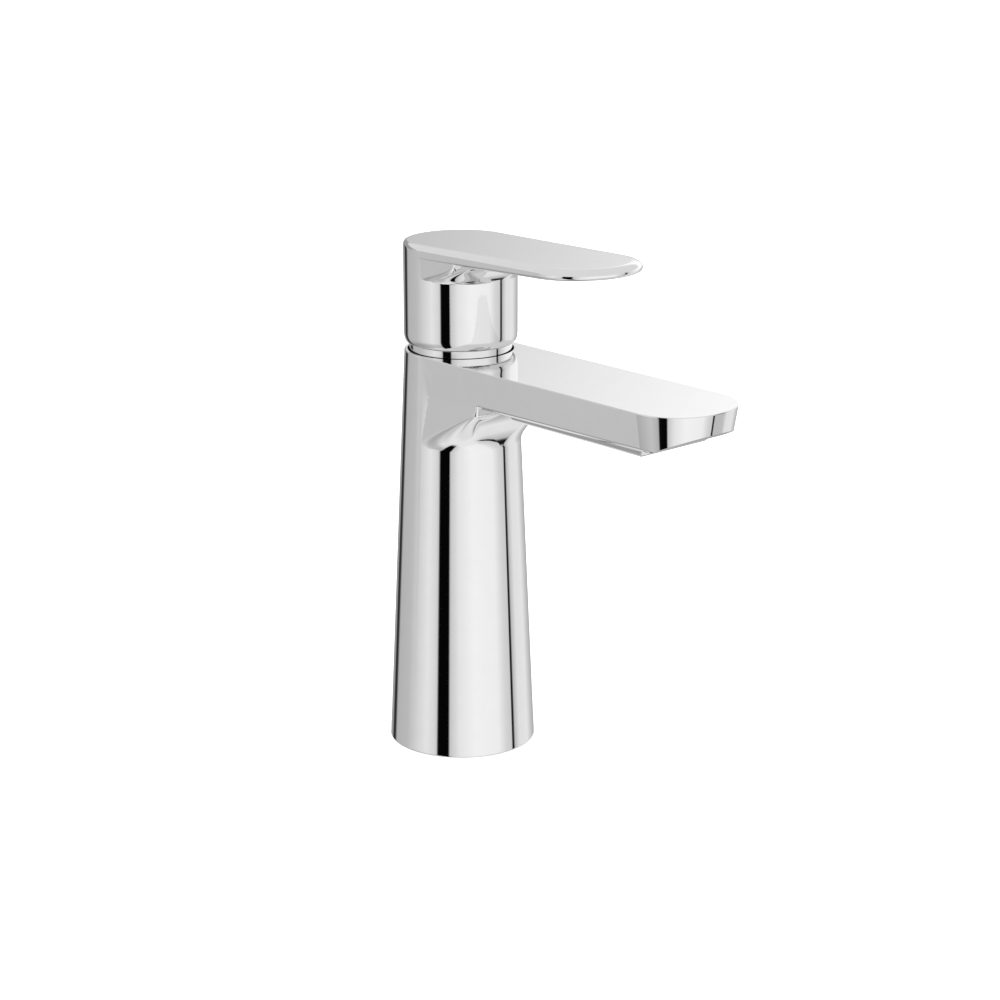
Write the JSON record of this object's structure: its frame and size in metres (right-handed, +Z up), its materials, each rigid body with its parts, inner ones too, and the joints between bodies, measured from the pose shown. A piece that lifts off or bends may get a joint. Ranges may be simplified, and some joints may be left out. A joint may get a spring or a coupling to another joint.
{
  "type": "basin mixer tap",
  "caption": "Single-lever basin mixer tap with a tapered round column, a flat rectangular spout and a round cap that runs forward as a flat lever.",
  "frame": {"origin": "middle of the base ring, on the face that sits on the basin or worktop", "axes": "+Z up along the column, -Y towards the spout tip and the lever tip, X across"},
  "size_m": [0.0556, 0.1598, 0.2538],
  "materials": {
    "chrome": "polished chrome plate on brass",
    "brass": "machined",
    "steel": "zinc plated or turned",
    "rubber": "moulded EPDM",
    "ceramic": "lapped alumina",
    "white_plastic": "moulded acetal",
    "grey_plastic": "moulded polyamide",
    "index_plastic": "moulded, half red and half blue"
  },
  "bodies": {
    "root": {"body_casting": "chrome", "spout_underplate": "chrome", "base_gasket": "rubber", "aerator_housing": "chrome", "aerator_screen": "grey_plastic", "aerator_insert": "white_plastic", "aerator_seal": "rubber", "mounting_stud": "steel", "horseshoe_gasket": "rubber", "horseshoe_washer": "steel", "mounting_nut": "brass", "cartridge_base": "grey_plastic", "port_seal_hot": "rubber", "port_seal_cold": "rubber", "port_seal_outlet": "rubber", "fixed_disc": "ceramic", "cartridge_housing": "white_plastic", "clamp_nut": "brass", "temperature_stop_ring": "grey_plastic"},
    "swivel": {"swivel_guide": "grey_plastic", "pivot_pin": "steel"},
    "disc_slider": {"moving_disc": "ceramic", "disc_carrier": "white_plastic"},
    "lever": {"handle_casting": "chrome", "lever_stem": "brass", "stem_adapter": "white_plastic", "grub_screw": "steel", "index_plug": "index_plastic"}
  },
  "joints": [
    {"name": "temperature_swing", "type": "hinge", "parent": "root", "child": "swivel", "pos_m": [0, 0, 0.1625], "axis": [0, 0, 1], "range_deg": [-50, 50]},
    {"name": "lever_lift", "type": "hinge", "parent": "swivel", "child": "lever", "pos_m": [0, 0, 0.1625], "axis": [-1, 0, 0], "range_deg": [0, 17]},
    {"name": "disc_slide", "type": "slide", "parent": "swivel", "child": "disc_slider", "axis": [0, -1, 0], "range_m": [0, 0.0051]}
  ],
  "couplings": [
    {"joint": "disc_slide", "follows": "lever_lift", "m_per_rad": 0.0171}
  ]
}
